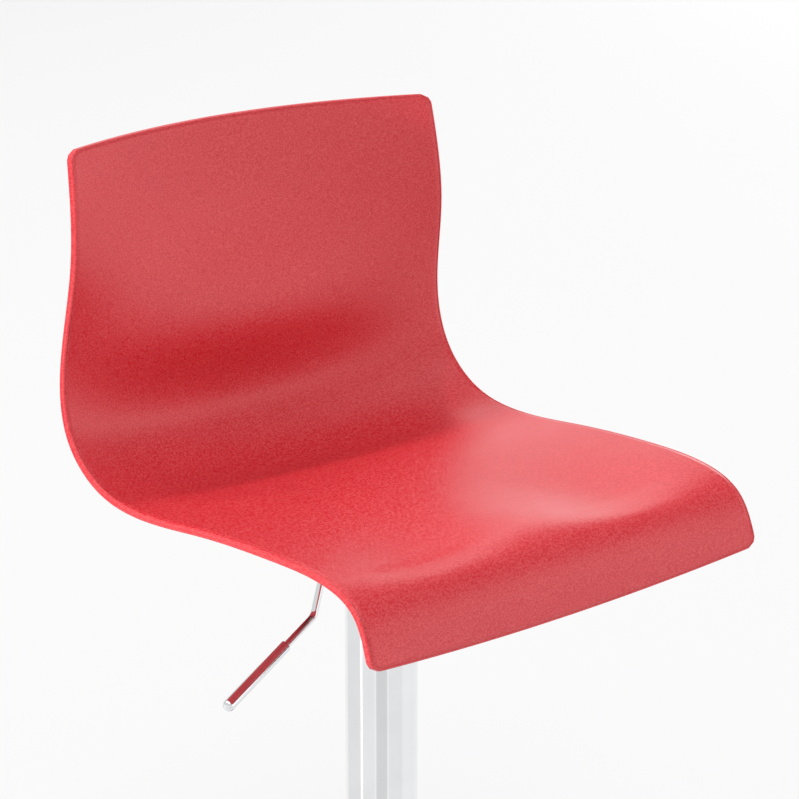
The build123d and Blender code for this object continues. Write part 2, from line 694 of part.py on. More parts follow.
def collar_screws():
    """Socket screws behind the column that clamp the collar."""
    head_bottom = COLLAR_RADIUS + COLLAR_SCREW_GAP
    head_top = head_bottom + COLLAR_HEAD_HEIGHT
    socket = extrude(RegularPolygon(COLLAR_HEXAGON, 6), COLLAR_HEXAGON_DEPTH)
    screw = rod(SCREW_RADIUS, LINER_RADIUS, head_bottom) + rod(COLLAR_HEAD_RADIUS, head_bottom, head_top)
    screw -= Pos(0, 0, head_top - COLLAR_HEXAGON_DEPTH) * socket
    screw = Pos(0, 0, COLLAR_LEVEL) * Rot(0, 90, 0) * screw
    return group(Rot(0, 0, angle) * screw for angle in COLLAR_SCREW_ANGLES)


# ---- Base ----


def base_cover():
    """Trumpet-shaped sheet cover with a rolled edge."""
    edge_top = RING_TOP + COVER_EDGE_HEIGHT
    edge = Line((BASE_RADIUS, 0, RING_TOP), (BASE_RADIUS, 0, edge_top))
    flare = Spline(
        edge @ 1,
        *[(radius, 0, height) for radius, height in COVER_FLARE],
        tangents=((0, 0, 1), (COVER_NECK_LEAN, 0, 1)),
    )
    inside = []
    for step in range(COVER_SAMPLES + 1):
        slope = flare % (step / COVER_SAMPLES)
        inside.append(flare @ (step / COVER_SAMPLES) + Vector(-slope.Z, 0, slope.X) * COVER_SHEET)
    inner_edge = Line(edge @ 0 - Vector(COVER_SHEET, 0, 0), inside[0])
    bottom = Line(inner_edge @ 0, edge @ 0)
    neck = Line(flare @ 1, inside[-1])
    outline = [bottom, edge, flare, neck, Spline(*reversed(inside)), inner_edge]
    return revolve(make_face(outline), Axis.Z)


def hub_bolt_places():
    steps = [math.tau * (step + 0.5) / HUB_BOLT_COUNT for step in range(HUB_BOLT_COUNT)]
    return [(HUB_BOLT_CIRCLE * math.cos(a), HUB_BOLT_CIRCLE * math.sin(a)) for a in steps]


def base_hub():
    """Steel hub on the ballast plate, which holds the column tube upright."""
    flange_top = BALLAST_TOP + HUB_FLANGE_HEIGHT
    hub = tube(HUB_RADIUS, TUBE_RADIUS, BALLAST_TOP, HUB_TOP)
    hub += tube(HUB_FLANGE_RADIUS, TUBE_RADIUS, BALLAST_TOP, flange_top)
    for x, y in hub_bolt_places():
        hub -= Pos(x, y, 0) * rod(SCREW_HOLE_RADIUS, BALLAST_TOP, flange_top)
    return hub


def hub_bolts():
    """Hexagon bolts down through the hub's flange into the ballast plate."""
    flange_top = BALLAST_TOP + HUB_FLANGE_HEIGHT
    head = Pos(0, 0, flange_top) * extrude(RegularPolygon(HUB_BOLT_HEXAGON, 6), HUB_BOLT_HEAD)
    bolt = head + rod(SCREW_RADIUS, RING_TOP, flange_top)
    return group(Pos(x, y, 0) * bolt for x, y in hub_bolt_places())


def ballast_plate():
    plate = tube(BALLAST_RADIUS, BALLAST_BORE, RING_TOP, BALLAST_TOP)
    for x, y in hub_bolt_places():
        plate -= Pos(x, y, 0) * rod(SCREW_RADIUS, RING_TOP, BALLAST_TOP)
    return plate


def floor_ring():
    """Rubber ring under the edge: the stool's only contact with the floor."""
    ring = tube(BASE_RADIUS, FLOOR_RING_BORE, 0, RING_TOP)
    return fillet(ring.edges().filter_by(GeomType.CIRCLE).sort_by(Axis.Z)[:2], FLOOR_RING_ROUND)


def neck_ring():
    """Trim ring between the cover's neck and the column tube."""
    ring = tube(NECK_RADIUS, TUBE_RADIUS, COVER_TOP, COVER_TOP + NECK_HEIGHT)
    ring = fillet(ring.edges().filter_by(GeomType.CIRCLE).sort_by(Axis.Z)[-2:], NECK_ROUND)
    return ring + tube(NECK_SPIGOT_RADIUS, TUBE_RADIUS, COVER_TOP - NECK_SPIGOT_DEPTH, COVER_TOP)


PIECES = [
    seat_shell,
    seat_inserts,
    seat_washers,
    seat_screws,
    seat_plate,
    cone_socket,
    lever_bracket,
    lever_pivot_pin,
    pivot_clip,
    lever_rod,
    lever_grip,
    lift_cylinder,
    cylinder_gland,
    gland_seal,
    valve_body,
    valve_seal,
    valve_pin,
    piston_rod,
    piston,
    piston_seal,
    piston_nut,
    lower_race,
    upper_race,
    bearing_balls,
    bearing_cage,
    rod_buffer,
    rod_washer,
    rod_clip,
    outer_tube,
    tube_foot,
    guide_bush,
    column_sleeve,
    sleeve_top_cap,
    sleeve_guide_ring,
    footrest_loop,
    footrest_collar,
    collar_liner,
    collar_screws,
    base_cover,
    base_hub,
    hub_bolts,
    ballast_plate,
    floor_ring,
    neck_ring,
]

for piece in PIECES:
    save(piece(), piece.__name__)
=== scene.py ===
import json
import math

import bmesh
import bpy
import numpy as np
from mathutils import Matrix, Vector


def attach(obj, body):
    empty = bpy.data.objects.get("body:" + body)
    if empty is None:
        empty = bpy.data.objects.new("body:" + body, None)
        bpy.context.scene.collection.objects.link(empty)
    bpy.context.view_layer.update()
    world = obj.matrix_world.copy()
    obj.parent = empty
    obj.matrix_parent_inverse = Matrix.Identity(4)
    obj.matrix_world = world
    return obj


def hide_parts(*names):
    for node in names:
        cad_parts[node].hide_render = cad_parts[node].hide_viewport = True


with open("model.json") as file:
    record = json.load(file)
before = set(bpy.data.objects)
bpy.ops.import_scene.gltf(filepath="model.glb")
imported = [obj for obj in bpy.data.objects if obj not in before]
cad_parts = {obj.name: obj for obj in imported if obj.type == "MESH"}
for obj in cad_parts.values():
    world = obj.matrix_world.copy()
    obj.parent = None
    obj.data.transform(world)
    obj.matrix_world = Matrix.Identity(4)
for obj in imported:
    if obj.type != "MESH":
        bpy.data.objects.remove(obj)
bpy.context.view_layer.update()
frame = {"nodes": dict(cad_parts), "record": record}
nodes = frame["nodes"]
scene = bpy.context.scene
scene.view_settings.view_transform = "Standard"
scene.view_settings.look = "None"

MM = 0.001
SEAT_HEIGHT = 600.0  # mm, rim of the seat pan above the floor

# ---------------------------------------------------------------- camera

VIEW_AZIMUTH = 40.07
VIEW_ELEVATION = 17.5
CAMERA_DISTANCE = 2.0984
CAMERA_AIM = Vector((0.0216, 0.0027, 0.6507))
LENS = 117.9
SENSOR_WIDTH = 36.0
NEAREST, FARTHEST = 0.05, 100.0  # m, what the camera can see


def direction(azimuth, elevation):
    """Unit vector. Azimuth 0 is behind the sitter (+Y), 90 is on +X."""
    turn, tilt = math.radians(azimuth), math.radians(elevation)
    return Vector((math.sin(turn) * math.cos(tilt), math.cos(turn) * math.cos(tilt), math.sin(tilt)))


def make_camera():
    forward = direction(VIEW_AZIMUTH, -VIEW_ELEVATION)
    data = bpy.data.cameras.new("camera")
    data.lens = LENS
    data.sensor_width = SENSOR_WIDTH
    data.clip_start = NEAREST
    data.clip_end = FARTHEST
    camera = bpy.data.objects.new("camera", data)
    camera.location = CAMERA_AIM - forward * CAMERA_DISTANCE
    camera.rotation_mode = "QUATERNION"
    camera.rotation_quaternion = forward.to_track_quat("-Z", "Y")
    scene.collection.objects.link(camera)
    scene.camera = camera


# ---------------------------------------------------------------- seat shell shape, mm

# The rim of one side, from the corner of the back down to the front lip, relative to the seat height.
RIM = [
    (183, 153, 257),
    (189, 144, 166),
    (196, 156, 75),
    (199, 144, 31),
    (200, 109, 2),
    (200, 64, -7),
    (198, -27, 0),
    (197, -119, 6),
    (196, -165, 5),
    (196, -208, -10),
    (197, -228, -50),
]
HALF_WIDTH = 200.0  # of the pan
# The centre line of the sitting surface, from the back's top edge down to the front lip.
SPINE = [
    (0, 187, 258),
    (0, 183, 166),
    (0, 168, 77),
    (0, 177, 45),
    (0, 177, 11),
    (0, 124, -26),
    (0, 66, -19),
    (0, -28, -9),
    (0, -118, -3),
    (0, -163, 0),
    (0, -187, -1),
    (0, -207, -11),
    (0, -222, -60),
]
HOLLOW_DEPTH = 10.0  # the two leg hollows, behind the front roll
HOLLOW_PLACE = 0.860  # share of the way from the back's top to the front lip
HOLLOW_BACK = 0.110  # how gently they begin
HOLLOW_FRONT = 0.040  # how steeply they end
CORNER_ROUND = 9.0
THICKNESS = 6.0
EDGE_ROUND = 2.3
GROOVE_WIDTH = 0.9  # fine groove between the sitting surface and its edge
GROOVE_DEPTH = 0.4
SEAM_HALF = 0.35  # parting line round the edge
SEAM_DEPTH = 0.22
ROWS = 180  # spans of the surface grid, from back to front
COLUMNS = 120  # and from side to side
CROWDING = 0.25  # how far the rows crowd towards both ends
EDGE_STEPS = 6  # points round each rounded edge
BOSS_PLACE = 58.0  # the four bosses stand this far from the axis in X and in Y
BOSS_FOOT = 560.0
BOSS_FOOT_RADIUS = 10.0
BOSS_TIP_RADIUS = 9.0
BOSS_EDGE = 0.8
BOSS_FLARE = 3.0  # how far the boss spreads where it meets the shell
INSERT_RADIUS = 4.0
INSERT_DEPTH = 9.0
PAN_SHARES = (0.35, 0.95)  # where along the shell the pan lies
UNDERSIDE_STEPS = 400  # places tried along it to find the one over a boss
UNDERSIDE_TRIES = 3


class Curve3:
    """A smooth curve through points, asked for by its share of the length."""

    SAMPLES = 2000  # points that its length is measured by

    def __init__(self, points):
        p = np.array(points, float)
        knots = np.concatenate([[0], np.cumsum(np.linalg.norm(np.diff(p, axis=0), axis=1))])
        steps = np.diff(knots)
        count = len(p)
        system = np.zeros((count, count))
        right = np.zeros((count, 3))
        system[0, 0] = system[-1, -1] = 1
        for i in range(1, count - 1):
            system[i, i - 1 : i + 2] = steps[i - 1], 2 * (steps[i - 1] + steps[i]), steps[i]
            right[i] = 6 * ((p[i + 1] - p[i]) / steps[i] - (p[i] - p[i - 1]) / steps[i - 1])
        self.p, self.knots, self.bend = p, knots, np.linalg.solve(system, right)
        fine = np.linspace(0, knots[-1], self.SAMPLES)
        trace = self.raw(fine)
        run = np.concatenate([[0], np.cumsum(np.linalg.norm(np.diff(trace, axis=0), axis=1))])
        self.length = run[-1]
        self.share, self.fine = run / run[-1], fine

    def raw(self, t):
        i = np.clip(np.searchsorted(self.knots, t, side="right") - 1, 0, len(self.p) - 2)
        h = (self.knots[i + 1] - self.knots[i])[:, None]
        b = (t - self.knots[i])[:, None]
        a = h - b
        m0, m1 = self.bend[i], self.bend[i + 1]
        return (
            m0 * a**3 / (6 * h)
            + m1 * b**3 / (6 * h)
            + (self.p[i] / h - m0 * h / 6) * a
            + (self.p[i + 1] / h - m1 * h / 6) * b
        )

    def at(self, share):
        return self.raw(np.interp(share, self.share, self.fine))


rim_curve = Curve3(RIM)
spine_curve = Curve3(SPINE)


def sitting_surface(along, across):
    """Points of the sitting surface in mm. along is 0 to 1 from the back's top, across is -1 to 1."""
    edge = rim_curve.at(along.ravel()).reshape(along.shape + (3,))
    middle = spine_curve.at(along.ravel()).reshape(along.shape + (3,))
    depth = middle - edge
    depth[..., 0] = 0
    length = np.linalg.norm(depth, axis=-1, keepdims=True)
    down = depth / length
    span = np.where(along > HOLLOW_PLACE, HOLLOW_FRONT, HOLLOW_BACK)
    hollow = HOLLOW_DEPTH * np.exp(-(((along - HOLLOW_PLACE) / span) ** 2))
    sink = length[..., 0] * (1 - across**2) + hollow * np.sin(np.pi * np.abs(across)) ** 2
    place = np.stack([across * edge[..., 0], edge[..., 1], edge[..., 2] + SEAT_HEIGHT], -1)
    return place + down * sink[..., None]


def surface_grid():
    """A grid that follows the shell's outline with rounded corners, inset by the edge's rounding."""
    length = rim_curve.length
    inset = EDGE_ROUND
    radius = CORNER_ROUND - inset
    slow = (1 - np.cos(np.linspace(0, np.pi, ROWS + 1))) / 2
    even = np.linspace(0, 1, ROWS + 1)
    down = inset + (length - 2 * inset) * (CROWDING * slow + (1 - CROWDING) * even)
    end = np.minimum(down - inset, length - inset - down)
    cut = np.where(end < radius, radius - np.sqrt(np.maximum(radius**2 - (radius - end) ** 2, 0)), 0)
    along = np.repeat((down / length)[:, None], COLUMNS + 1, 1)
    half = rim_curve.at(down / length)[:, 0]
    reach = (half - inset - cut) / half
    share = np.linspace(-1, 1, COLUMNS + 1)
    across = reach[:, None] * share[None, :]
    return along, across


def grid_normals(along, across):
    step = 1e-4
    by_along = sitting_surface(along + step, across) - sitting_surface(along - step, across)
    by_across = sitting_surface(along, across + step) - sitting_surface(along, across - step)
    normal = np.cross(by_along, by_across)
    return normal / np.linalg.norm(normal, axis=-1, keepdims=True)


def rim_profile():
    """The edge's section as (outward, down) pairs between the two skins, with its parting line."""
    r, middle = EDGE_ROUND - GROOVE_WIDTH, THICKNESS / 2
    turn = np.linspace(0, np.pi / 2, EDGE_STEPS)
    groove = [(GROOVE_WIDTH / 3, GROOVE_DEPTH), (2 * GROOVE_WIDTH / 3, GROOVE_DEPTH)]
    upper = [(GROOVE_WIDTH + r * math.sin(a), r * (1 - math.cos(a))) for a in turn]
    seam = [
        (EDGE_ROUND, middle - SEAM_HALF),
        (EDGE_ROUND - SEAM_DEPTH, middle),
        (EDGE_ROUND, middle + SEAM_HALF),
    ]
    lower = [(o, THICKNESS - d) for o, d in reversed(upper[1:])]
    return groove + upper + seam + lower + [(GROOVE_WIDTH, THICKNESS)]


def skin_faces(rows, columns):
    """Quads of the upper skin's grid and of the lower skin's, which follows it."""
    faces = []
    for i in range(rows - 1):
        for j in range(columns - 1):
            a, b = i * columns + j, i * columns + j + 1
            c, d = b + columns, a + columns
            faces.append((a, b, c, d))
            faces.append(tuple(k + rows * columns for k in (d, c, b, a)))
    return faces


def border(rows, columns):
    """Grid places all the way round the outline."""
    loop = [(0, j) for j in range(columns - 1)]
    loop += [(i, columns - 1) for i in range(rows - 1)]
    loop += [(rows - 1, j) for j in range(columns - 1, 0, -1)]
    loop += [(i, 0) for i in range(rows - 1, 0, -1)]
    return loop


def rim_strips(top, normal, loop):
    """The edge's rings of points, from the upper skin round to the lower one."""
    edge = np.array([top[i, j] for i, j in loop])
    up = np.array([normal[i, j] for i, j in loop])
    tangent = np.roll(edge, -1, 0) - np.roll(edge, 1, 0)
    outward = np.cross(tangent, up)
    outward /= np.linalg.norm(outward, axis=1, keepdims=True)
    middle = top[top.shape[0] // 2, top.shape[1] // 2]
    if np.dot(outward[0], edge[0] - middle) < 0:
        outward = -outward
    return [edge + outward * o - up * d for o, d in rim_profile()]


def rim_faces(loop, rows, columns, strips):
    """Quads that join the two skins through the edge's strips."""
    skin, size = rows * columns, len(loop)
    rings = [[i * columns + j for i, j in loop]]
    rings += [[2 * skin + k * size + n for n in range(size)] for k in range(strips)]
    rings += [[skin + i * columns + j for i, j in loop]]
    faces = []
    for first, second in zip(rings, rings[1:]):
        for n in range(size):
            m = (n + 1) % size
            faces.append((first[n], second[n], second[m], first[m]))
    return faces


def make_shell():
    """The moulding: sitting surface, underside and the edge between them."""
    along, across = surface_grid()
    top = sitting_surface(along, across)
    normal = grid_normals(along, across)
    if normal[ROWS // 2, COLUMNS // 2, 2] < 0:
        normal = -normal
    bottom = top - normal * THICKNESS
    rows, columns = top.shape[:2]
    loop = border(rows, columns)
    strips = rim_strips(top, normal, loop)
    points = np.concatenate([top.reshape(-1, 3), bottom.reshape(-1, 3), *strips])
    faces = skin_faces(rows, columns) + rim_faces(loop, rows, columns, len(strips))
    mesh = bpy.data.meshes.new("shell_skin")
    mesh.from_pydata([tuple(point * MM) for point in points], [], faces)
    fix_normals(mesh)
    for polygon in mesh.polygons:
        polygon.use_smooth = True
    return new_object("shell_skin", mesh)


def fix_normals(mesh):
    work = bmesh.new()
    work.from_mesh(mesh)
    bmesh.ops.recalc_face_normals(work, faces=work.faces)
    work.to_mesh(mesh)
    work.free()


def new_object(name, mesh):
    thing = bpy.data.objects.new(name, mesh)
    scene.collection.objects.link(thing)
    return thing


def lathe_mesh(name, profile, segments=64):
    """A closed mesh turned round Z from (radius, height) pairs in mm, first and last on the axis."""
    turns = [math.tau * k / segments for k in range(segments)]
    rings = profile[1:-1]
    points = [(r * math.cos(a), r * math.sin(a), z) for r, z in rings for a in turns]
    points += [(0, 0, profile[0][1]), (0, 0, profile[-1][1])]
    start, end = len(points) - 2, len(points) - 1
    faces = []
    for k in range(segments):
        m = (k + 1) % segments
        faces.append((start, m, k))
        for row in range(len(rings) - 1):
            a, b = row * segments + k, row * segments + m
            faces.append((a, b, b + segments, a + segments))
        last = (len(rings) - 1) * segments
        faces.append((end, last + k, last + m))
    mesh = bpy.data.meshes.new(name)
    mesh.from_pydata([tuple(c * MM for c in point) for point in points], [], faces)
    return mesh


def underside(x, y):
    """Height of the shell's lower skin over a point of the plan, in mm."""
    shares = np.linspace(*PAN_SHARES, UNDERSIDE_STEPS)
    along, across = np.meshgrid(shares, [x / HALF_WIDTH], indexing="ij")
    for _ in range(UNDERSIDE_TRIES):
        points = sitting_surface(along, across)
        across = across + (x - points[..., 0]) / HALF_WIDTH
    points = sitting_surface(along, across) - grid_normals(along, across) * THICKNESS
    near = int(np.argmin(np.abs(points[:, 0, 1] - y)))
    return float(points[near, 0, 2])


def make_boss(x, y):
    """A tapered boss under the shell, flared into it, with the bore of its insert."""
    top = underside(x, y) + THICKNESS / 2
    slope = (BOSS_TIP_RADIUS - BOSS_FOOT_RADIUS) / (top - BOSS_FOOT)
    bore_end = BOSS_FOOT + INSERT_DEPTH
    flare = top - THICKNESS / 2 - BOSS_FLARE
    profile = [
        (0, bore_end),
        (INSERT_RADIUS, bore_end),
        (INSERT_RADIUS, BOSS_FOOT),
        (BOSS_FOOT_RADIUS - BOSS_EDGE, BOSS_FOOT),
        (BOSS_FOOT_RADIUS, BOSS_FOOT + BOSS_EDGE),
        (BOSS_FOOT_RADIUS + slope * (flare - BOSS_FOOT), flare),
        (BOSS_TIP_RADIUS + BOSS_FLARE, top),
        (0, top),
    ]
    mesh = lathe_mesh("seat_boss", profile)
    fix_normals(mesh)
    boss = new_object("seat_boss", mesh)
    boss.location = (x * MM, y * MM, 0)
    return boss


# ---------------------------------------------------------------- materials


def new_material(name, colour, rough, metal=0.0):
    """A Principled material, its node tree and its shader."""
    material = bpy.data.materials.new(name)
    material.use_nodes = True
    tree = material.node_tree
    shader = next(n for n in tree.nodes if n.type == "BSDF_PRINCIPLED")
    shader.inputs["Base Color"].default_value = (*colour, 1)
    shader.inputs["Roughness"].default_value = rough
    shader.inputs["Metallic"].default_value = metal
    return material, tree, shader


def add(tree, kind, **settings):
    """Adds a node. Each setting is one of its properties, or the value of an input with that name."""
    node = tree.nodes.new(kind)
    for name, value in settings.items():
        if hasattr(node, name):
            setattr(node, name, value)
        else:
            node.inputs[name.replace("_", " ")].default_value = value
    return node


def noise(tree, scale, detail=2.0, stretch=(1, 1, 1)):
    """A noise pattern fixed to the object, finer along the axes with a larger stretch."""
    place = add(tree, "ShaderNodeTexCoord")
    fit = add(tree, "ShaderNodeMapping", Scale=stretch)
    pattern = add(tree, "ShaderNodeTexNoise", Scale=scale, Detail=detail)
    tree.links.new(place.outputs["Object"], fit.inputs["Vector"])
    tree.links.new(fit.outputs["Vector"], pattern.inputs["Vector"])
    return pattern.outputs["Fac"]


def spread(tree, source, low, high, start=0.3, end=0.7):
    """Turns a pattern's range from start to end into values from low to high."""
    ramp = add(tree, "ShaderNodeMapRange", From_Min=start, From_Max=end, To_Min=low, To_Max=high)
    tree.links.new(source, ramp.inputs["Value"])
    return ramp.outputs["Result"]


def tint(tree, source, first, second, start=0.3, end=0.7):
    """Two colours blended by a pattern."""
    ramp = add(tree, "ShaderNodeValToRGB")
    ramp.color_ramp.elements[0].position = start
    ramp.color_ramp.elements[0].color = (*first, 1)
    ramp.color_ramp.elements[1].position = end
    ramp.color_ramp.elements[1].color = (*second, 1)
    tree.links.new(source, ramp.inputs["Fac"])
    return ramp.outputs["Color"]


def plus(tree, first, second):
    total = add(tree, "ShaderNodeMath", operation="ADD")
    tree.links.new(first, total.inputs[0])
    tree.links.new(second, total.inputs[1])
    return total.outputs["Value"]


def relief(tree, shader, layers):
    """Chained bumps from (pattern, height in metres) pairs."""
    normal = None
    for source, height in layers:
        bump = add(tree, "ShaderNodeBump", Strength=1.0, Distance=height)
        tree.links.new(source, bump.inputs["Height"])
        if normal:
            tree.links.new(normal, bump.inputs["Normal"])
        normal = bump.outputs["Normal"]
    tree.links.new(normal, shader.inputs["Normal"])


# Scales are in features per metre, about, and heights and depths in metres.
RED = (0.58, 0.028, 0.038)
RED_GRAIN_SHADE = ((0.545, 0.010, 0.021), (0.635, 0.052, 0.060))  # the plastic's red, with painted shade in the grain's pits and painted light on its peaks
RED_CLOUDS = ((0.955, 0.94, 0.94), (1.0, 1.0, 1.0))  # slow change of tone over the whole shell
RED_CLOUD_SCALE = 7.0
RED_MEAN_ROUGHNESS = 0.41
RED_ROUGHNESS = (0.395, 0.425)
RED_SHEEN_SCALE = 45.0  # of the change in roughness
RED_SPECULAR = 0.63
GRAIN_SCALE = 860.0
GRAIN_STRETCH = (0.8, 0.4, 1.2)
GRAIN_HEIGHT = 0.00012
GRAIN_SHADE_EDGES = (0.38, 0.62)  # parts of the pattern that are all pit and all peak, by colour: full painted shade and full painted light
PIT_EDGES = (0.36, 0.64)  # the same, by roughness
PIT_ROUGHNESS = (-0.05, 0.05)  # added in the pits and on the peaks
RUB_SCALE = 18.0
RUB_STRETCH = (1, 14, 14)  # rubs run from side to side
RUB_ROUGHNESS = (0.0, 0.04)  # added off and on a rub
RUB_EDGES = (0.60, 0.72)
WAVE_SCALE, WAVE_HEIGHT = 60.0, 0.00003  # the moulding's slight unevenness


def red_plastic():
    """Moulded plastic with a fine grain, painted shade in its pits and painted light on its peaks, and
    a few faint rubs on it.
    """
    material, tree, shader = new_material("red_plastic", RED, RED_MEAN_ROUGHNESS)
    shader.inputs["Specular IOR Level"].default_value = RED_SPECULAR
    grain = noise(tree, GRAIN_SCALE, 1.0, GRAIN_STRETCH)
    # the colour follows the grain's relief: painted shade in the pits, painted light on the peaks
    speckle = tint(tree, grain, *RED_GRAIN_SHADE, *GRAIN_SHADE_EDGES)
    cloud = tint(tree, noise(tree, RED_CLOUD_SCALE, 3.0), *RED_CLOUDS)
    mix = add(tree, "ShaderNodeMix", data_type="RGBA", blend_type="MULTIPLY")
    mix.inputs[0].default_value = 1.0
    tree.links.new(speckle, mix.inputs[6])
    tree.links.new(cloud, mix.inputs[7])
    tree.links.new(mix.outputs[2], shader.inputs["Base Color"])
    sheen = spread(tree, noise(tree, RED_SHEEN_SCALE, 3.0), *RED_ROUGHNESS)
    rubs = spread(tree, noise(tree, RUB_SCALE, 6.0, RUB_STRETCH), *RUB_ROUGHNESS, *RUB_EDGES)
    pits = spread(tree, grain, *PIT_ROUGHNESS, *PIT_EDGES)
    tree.links.new(plus(tree, plus(tree, sheen, rubs), pits), shader.inputs["Roughness"])
    relief(tree, shader, [(noise(tree, WAVE_SCALE, 2.0), WAVE_HEIGHT), (grain, GRAIN_HEIGHT)])
    return material


MOULDED_TONE_SCALE = 30.0
MOULDED_SHEEN_SCALE = 55.0
MOULDED_WAVE_SCALE = 40.0


def moulded(name, dark, light, rough, grain, height):
    """Grained plastic or rubber. rough is its lowest and highest roughness."""
    material, tree, shader = new_material(name, light, rough[1])
    tone = tint(tree, noise(tree, MOULDED_TONE_SCALE, 4.0), dark, light)
    tree.links.new(tone, shader.inputs["Base Color"])
    sheen = spread(tree, noise(tree, MOULDED_SHEEN_SCALE, 3.0), *rough)
    tree.links.new(sheen, shader.inputs["Roughness"])
    wave = noise(tree, MOULDED_WAVE_SCALE, 2.0)
    relief(tree, shader, [(noise(tree, grain, 2.0), height), (wave, height)])
    return material


METAL_TONE_SCALE = 22.0
SMUDGE_SCALE = 28.0
LINE_SCALE = 60.0
LINE_SHARE = 0.25  # of the roughness, that lines add
LINE_EDGES = (0.45, 0.75)


def metal(name, dark, light, rough, height, stretch=(1, 1, 1)):
    """Metal with smudged gloss. stretch turns its fine relief into turning lines."""
    material, tree, shader = new_material(name, light, rough[1], 1.0)
    tone = tint(tree, noise(tree, METAL_TONE_SCALE, 5.0), dark, light)
    tree.links.new(tone, shader.inputs["Base Color"])
    smudge = spread(tree, noise(tree, SMUDGE_SCALE, 4.0), *rough)
    pattern = noise(tree, LINE_SCALE, 3.0, stretch)
    lines = spread(tree, pattern, 0.0, LINE_SHARE * rough[1], *LINE_EDGES)
    tree.links.new(plus(tree, smudge, lines), shader.inputs["Roughness"])
    relief(tree, shader, [(noise(tree, LINE_SCALE, 2.0, stretch), height)])
    return material


COAT = (0.035, 0.036, 0.038)
COAT_SPECKLE = ((0.026, 0.027, 0.029), (0.05, 0.051, 0.053))
COAT_MEAN_ROUGHNESS = 0.45
COAT_ROUGHNESS = (0.38, 0.5)
COAT_SHEEN_SCALE = 50.0
PEEL_SCALE, PEEL_HEIGHT = 420.0, 0.00006
SPECKLE_SCALE, SPECKLE_HEIGHT = 1400.0, 0.00001


def coated_steel():
    """Black powder coat: an even orange peel with a fine speckle."""
    material, tree, shader = new_material("black_steel", COAT, COAT_MEAN_ROUGHNESS)
    speckle = noise(tree, SPECKLE_SCALE, 2.0)
    tree.links.new(tint(tree, speckle, *COAT_SPECKLE), shader.inputs["Base Color"])
    sheen = spread(tree, noise(tree, COAT_SHEEN_SCALE, 4.0), *COAT_ROUGHNESS)
    tree.links.new(sheen, shader.inputs["Roughness"])
    peel = noise(tree, PEEL_SCALE, 2.0)
    relief(tree, shader, [(peel, PEEL_HEIGHT), (speckle, SPECKLE_HEIGHT)])
    return material


TURNED = (1, 1, 28)  # rings round the column
# Metals: darkest and lightest colour, range of roughness, height of the relief in metres, its stretch.
METALS = {
    "chrome": ((0.80, 0.81, 0.83), (0.85, 0.86, 0.875), (0.035, 0.075), 0.000002),
    "satin_chrome": ((0.84, 0.85, 0.86), (0.89, 0.90, 0.91), (0.06, 0.10), 0.000002, TURNED),
    "bare_steel": ((0.46, 0.46, 0.47), (0.58, 0.58, 0.59), (0.26, 0.36), 0.000012, TURNED),
    "zinc_steel": ((0.55, 0.56, 0.55), (0.68, 0.69, 0.71), (0.24, 0.36), 0.000008),
    "brass": ((0.62, 0.44, 0.17), (0.74, 0.57, 0.28), (0.22, 0.32), 0.000008, TURNED),
}
# Plastic and rubber: the same, with the scale of the grain before its height.
MOULDED = {
    "black_plastic": ((0.018, 0.018, 0.019), (0.032, 0.032, 0.033), (0.40, 0.50), 800.0, 0.00003),
    "seal_rubber": ((0.012, 0.012, 0.012), (0.022, 0.022, 0.022), (0.50, 0.62), 600.0, 0.00003),
    "floor_rubber": ((0.025, 0.025, 0.025), (0.045, 0.045, 0.044), (0.62, 0.78), 500.0, 0.00007),
}
LOOKS = {name: metal(name, *values) for name, values in METALS.items()}
LOOKS |= {name: moulded(name, *values) for name, values in MOULDED.items()}
LOOKS["black_steel"] = coated_steel()


# ---------------------------------------------------------------- stage and lights

FLOOR_RADIUS = 8.6  # the floor ends inside the ring of lamps, where it is still evenly lit
FLOOR_STEP = 5  # degrees between its corners
LIGHT_AIM = Vector((0, 0, 0.65))
LIGHT_DISTANCE = 9.0
WORLD_LIGHT = 0.76
SKY_TONE = 0.94  # brightness of the empty background beyond the floor
WHITE = (1, 1, 1, 1)
FLOOR_TONE = 0.30
FLOOR_ROUGHNESS = 0.8
FLOOR_SPECULAR = 0.1
FLOOR_GLOW = 0.50
# Softboxes: azimuth, elevation, size in metres, power in watts, and whether glossy surfaces show it.
SOFTBOXES = {
    "left_back_high": (315, 60, 3.6, 112.0, True),
    "left_front_high": (225, 60, 3.6, 147.0, True),
    "back_right": (30, 36, 3.6, 43.0, True),
    "right_back_low": (60, 12, 3.0, 121.0, True),
    "right_front_low": (120, 12, 3.0, 208.0, False),
}
# Small round lamps, in the same terms.
SPOTS = {
    "side": (285, 12, 0.75, 583.0, False),
    "side_back": (315, 12, 0.75, 113.0, False),
    "key": (33, 66, 0.75, 138.0, False),
}
# Glowing cards that only show in glossy surfaces, where they paint bright and dark reflections:
# azimuths, radius, lowest and highest point, brightness.
CARDS = {
    "card_front": (203, 236, 0.60, 0.0, 0.32, 0.74),
    "card_front_right": (152, 197, 0.60, 0.0, 0.32, 0.87),
    "card_left": (242, 281, 0.60, 0.0, 0.32, 0.89),
    "card_strip": (282.5, 286.5, 0.60, 0.0, 0.32, 1.8),
    "card_back_left": (290, 352, 0.60, 0.0, 0.32, 0.84),
    "card_front_low": (95, 165, 3.0, 0.30, 1.35, 1.4),
    "card_line": (112, 132, 0.60, 0.45, 0.58, 0.01),
    "card_dark_high": (60, 150, 3.0, 1.90, 5.50, 0.10),
    "card_back_low": (18, 60, 3.0, 0.62, 0.98, 2.0),
}
CARD_STEP = 3.0  # degrees between a card's folds


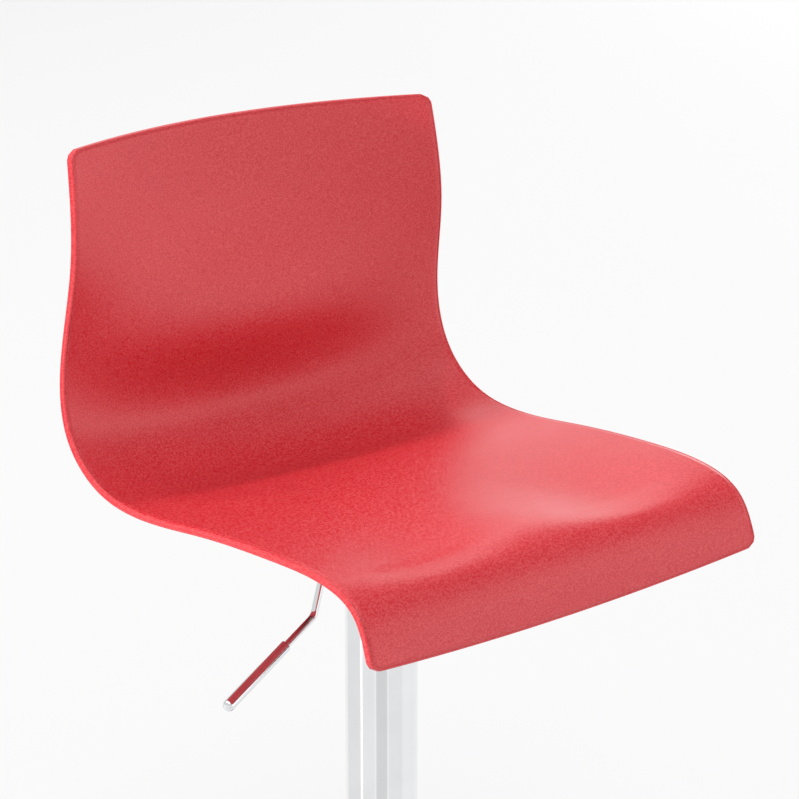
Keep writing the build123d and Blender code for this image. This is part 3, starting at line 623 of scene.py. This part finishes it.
def make_stage():
    material, _, shader = new_material("floor", (FLOOR_TONE,) * 3, FLOOR_ROUGHNESS)
    shader.inputs["Specular IOR Level"].default_value = FLOOR_SPECULAR
    shader.inputs["Emission Color"].default_value = WHITE
    shader.inputs["Emission Strength"].default_value = FLOOR_GLOW
    mesh = bpy.data.meshes.new("floor")
    corners = [FLOOR_RADIUS * direction(azimuth, 0) for azimuth in range(0, 360, FLOOR_STEP)]
    mesh.from_pydata(corners, [], [list(reversed(range(len(corners))))])
    mesh.materials.append(material)
    new_object("floor", mesh)


def make_card(name, start, end, radius, low, high, glow):
    """An upright curved card round the stool that glows, seen by glossy rays alone: a painted
    reflection, bright or dark.
    """
    material, _, shader = new_material(name, (0, 0, 0), 1.0)
    shader.inputs["Specular IOR Level"].default_value = 0.0
    shader.inputs["Emission Color"].default_value = WHITE
    shader.inputs["Emission Strength"].default_value = glow
    folds = max(1, round((end - start) / CARD_STEP))
    points, faces = [], []
    for k in range(folds + 1):
        way = direction(start + (end - start) * k / folds, 0) * radius
        points += [(way.x, way.y, low), (way.x, way.y, high)]
        if k:
            faces.append((2 * k - 2, 2 * k, 2 * k + 1, 2 * k - 1))
    mesh = bpy.data.meshes.new(name)
    mesh.from_pydata(points, [], faces)
    mesh.materials.append(material)
    card = new_object(name, mesh)
    card.visible_camera = card.visible_diffuse = False
    card.visible_shadow = card.visible_transmission = False


def area_light(name, shape, azimuth, elevation, size, power, glossy):
    """A soft light that looks at the seat."""
    data = bpy.data.lights.new(name, "AREA")
    data.shape = shape
    data.size = size
    data.energy = power
    way = direction(azimuth, elevation)
    lamp = bpy.data.objects.new(name, data)
    lamp.location = LIGHT_AIM + way * LIGHT_DISTANCE
    lamp.rotation_mode = "QUATERNION"
    lamp.rotation_quaternion = (-way).to_track_quat("-Z", "Y")
    lamp.visible_camera = False
    lamp.visible_glossy = glossy
    scene.collection.objects.link(lamp)


def make_lights():
    for name, values in SOFTBOXES.items():
        area_light(name, "SQUARE", *values)
    for name, values in SPOTS.items():
        area_light(name, "DISK", *values)
    for name, values in CARDS.items():
        make_card(name, *values)


def background(tree, strength):
    shader = tree.nodes.new("ShaderNodeBackground")
    shader.inputs["Color"].default_value = WHITE
    shader.inputs["Strength"].default_value = strength
    return shader.outputs["Background"]


def make_world():
    """Even light from all round. Beyond the floor the camera sees a tone as pale as the floor."""
    world = bpy.data.worlds.new("studio")
    scene.world = world
    world.use_nodes = True
    tree = world.node_tree
    tree.nodes.remove(tree.nodes["Background"])
    path = tree.nodes.new("ShaderNodeLightPath")
    mix = tree.nodes.new("ShaderNodeMixShader")
    tree.links.new(path.outputs["Is Camera Ray"], mix.inputs[0])
    tree.links.new(background(tree, WORLD_LIGHT), mix.inputs[1])
    tree.links.new(background(tree, SKY_TONE), mix.inputs[2])
    tree.links.new(mix.outputs[0], tree.nodes["World Output"].inputs["Surface"])


# ---------------------------------------------------------------- the scene

make_camera()
make_stage()
make_lights()
make_world()

red = red_plastic()
moulding = [make_shell()]
for x in (-BOSS_PLACE, BOSS_PLACE):
    for y in (-BOSS_PLACE, BOSS_PLACE):
        moulding.append(make_boss(x, y))
for piece in moulding:
    piece.data.materials.append(red)
    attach(piece, "seat")
    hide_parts("seat_shell")

for part in frame["record"]["subparts"]:
    look = LOOKS.get(part["material_slot"])
    if look:
        node = nodes[part["node"]]
        node.data.materials.clear()
        node.data.materials.append(look)
